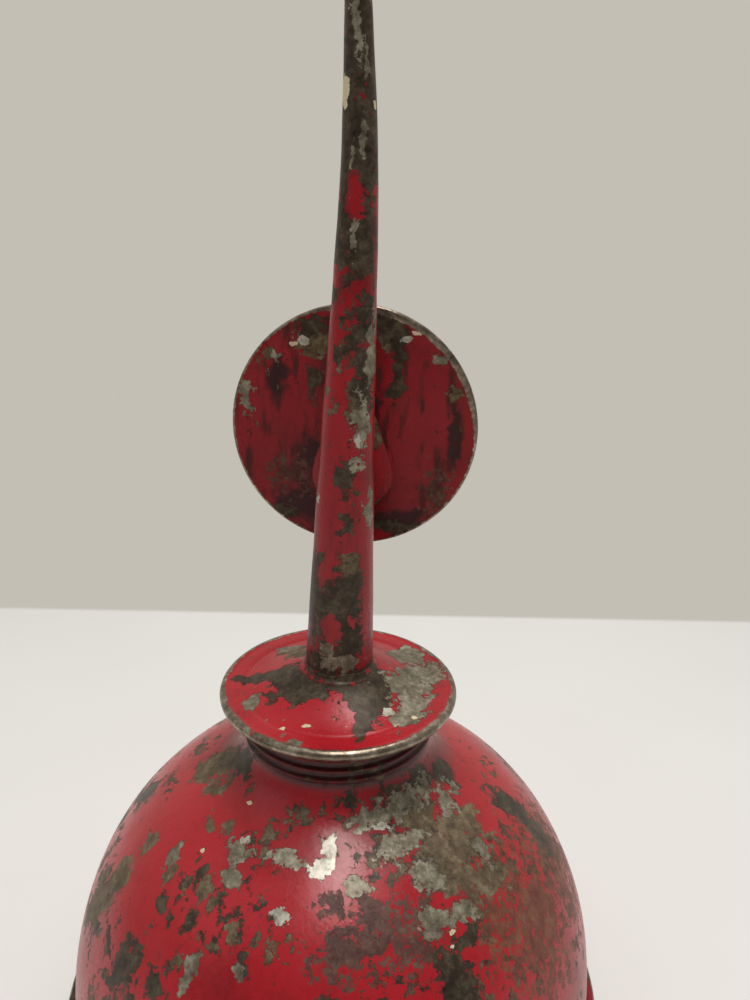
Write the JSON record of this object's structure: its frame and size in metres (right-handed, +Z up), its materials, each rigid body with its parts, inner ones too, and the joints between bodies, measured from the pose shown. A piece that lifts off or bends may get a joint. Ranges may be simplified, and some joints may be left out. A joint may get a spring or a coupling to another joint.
{
  "type": "thumb-lever pump oiler",
  "caption": "Dome-bodied steel oil can with a screw cap, a long tapered spout and a round thumb plate on a lever that works a small plunger pump inside.",
  "frame": {"origin": "centre of the underside of the rolled base seam, on the surface that the can stands on", "axes": "+Z up along the spout and the neck's thread, +Y towards the thumb lever behind the spout, +X across the lever along its pivot pin"},
  "size_m": [0.1138, 0.1138, 0.204],
  "materials": {
    "red_enamel": "worn glossy enamel, chipped to bare and rusty steel",
    "bare_steel": "dull, darkened with oil",
    "plated_steel": "bright hardened steel balls",
    "spring_steel": "oiled spring wire",
    "solder": "dull grey solder, painted over outside",
    "brass": "satin, tarnished",
    "leather": "oil-soaked leather",
    "cork": "oil-soaked pressed cork"
  },
  "bodies": {
    "can": {"can_dome": "red_enamel", "can_bottom": "red_enamel", "base_seam": "red_enamel"},
    "gasket": {"cap_gasket": "cork"},
    "cap": {"cap_plate": "red_enamel", "cap_skirt": "bare_steel", "spout": "red_enamel", "spout_solder": "solder", "pump_barrel": "brass", "gland_bush": "brass", "gland_boss": "brass", "gland_nut": "brass", "packing_washer": "leather", "foot_valve": "brass", "inlet_stop_pin": "bare_steel", "suction_tube": "brass", "strainer": "brass", "outlet_valve": "brass", "outlet_stop_pin": "bare_steel", "transfer_tube": "brass", "lever_bracket": "red_enamel", "bracket_solder": "solder", "pivot_pin": "bare_steel", "plunger_spring": "spring_steel"},
    "lever": {"lever_arm": "red_enamel", "thumb_disc": "red_enamel", "disc_solder": "solder"},
    "plunger": {"plunger_rod": "bare_steel", "piston_washer": "brass", "piston_cup": "leather", "piston_nut": "brass"},
    "inlet_ball": {"inlet_ball": "plated_steel"},
    "outlet_ball": {"outlet_ball": "plated_steel"}
  },
  "joints": [
    {"name": "cap_rise", "type": "slide", "parent": "can", "child": "gasket", "axis": [0, 0, 1], "range_m": [0, 0.007]},
    {"name": "cap_turn", "type": "hinge", "parent": "gasket", "child": "cap", "pos_m": [0, 0, 0.07], "axis": [0, 0, 1], "range_deg": [0, 1260.5]},
    {"name": "thumb_lever", "type": "hinge", "parent": "cap", "child": "lever", "pos_m": [0, 0.0185, 0.087], "axis": [1, 0, 0], "range_deg": [0, 10.5], "stiffness_Nm_per_rad": 0.4, "springref_deg": -5.73},
    {"name": "plunger_stroke", "type": "slide", "parent": "cap", "child": "plunger", "axis": [0, 0, -1], "range_m": [0, 0.00145], "deforming": ["plunger_spring"]},
    {"name": "inlet_ball_lift", "type": "slide", "parent": "cap", "child": "inlet_ball", "axis": [0, 0, 1], "range_m": [0, 0.0009]},
    {"name": "outlet_ball_lift", "type": "slide", "parent": "cap", "child": "outlet_ball", "axis": [0, 0, 1], "range_m": [0, 0.0009]}
  ],
  "couplings": [
    {"joint": "cap_turn", "follows": "cap_rise", "rad_per_m": 3141.6},
    {"joint": "thumb_lever", "follows": "plunger_stroke", "rad_per_m": 126.58}
  ]
}
